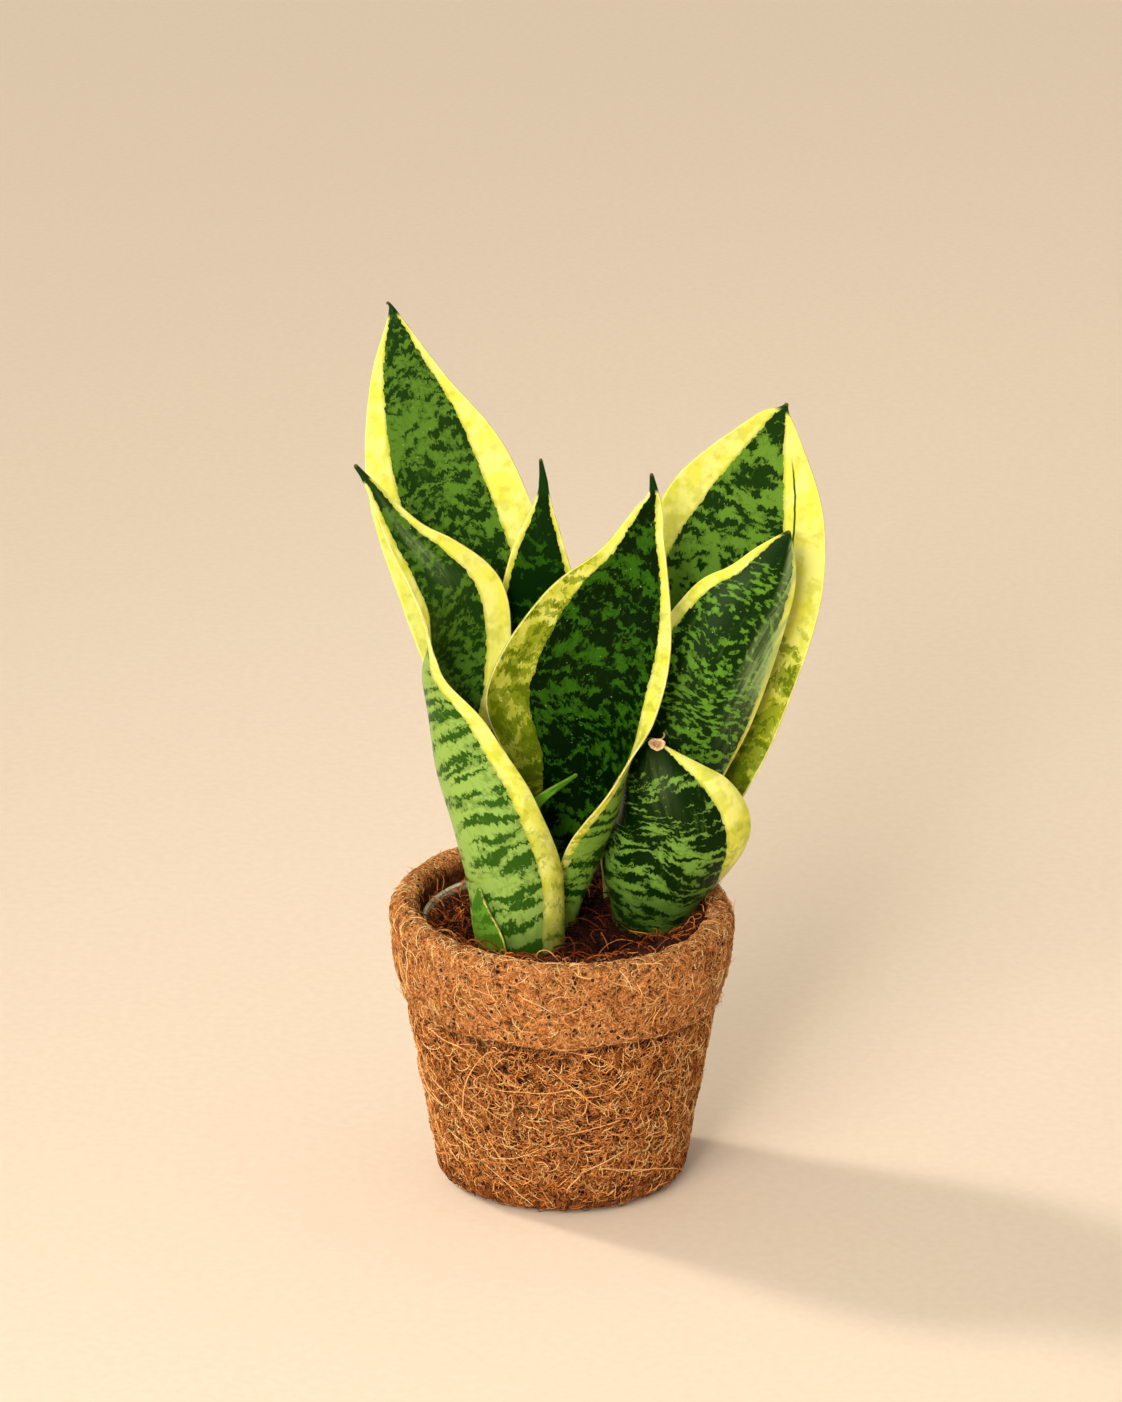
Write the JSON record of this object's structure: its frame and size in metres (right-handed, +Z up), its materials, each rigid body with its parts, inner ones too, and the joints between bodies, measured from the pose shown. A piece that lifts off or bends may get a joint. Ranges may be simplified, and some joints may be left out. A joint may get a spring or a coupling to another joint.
{
  "type": "potted snake plant",
  "caption": "Small variegated snake plant with broad, rolled green leaves edged in yellow, in a husk mix inside a round coir fibre pot.",
  "frame": {"origin": "centre of the coir pot's flat base, on the surface it stands on", "axes": "+Z up, -Y toward the front of the plant, +X to its right"},
  "size_m": [0.1502, 0.111, 0.2854],
  "materials": {
    "coir": "matte felted fibre",
    "liner": "satin",
    "potting_mix": "matte loose husk",
    "leaf": "waxy satin",
    "rhizome": "matte"
  },
  "bodies": {
    "root": {"coir_pot": "coir", "nursery_liner": "liner", "potting_mix": "potting_mix", "rhizome": "rhizome", "leaf_back_left": "leaf", "leaf_front_left": "leaf", "leaf_back_centre": "leaf", "leaf_centre": "leaf", "leaf_back_right": "leaf", "leaf_mid_right": "leaf", "leaf_front_right": "leaf", "sprout": "leaf", "basal_scale": "leaf"}
  },
  "joints": []
}
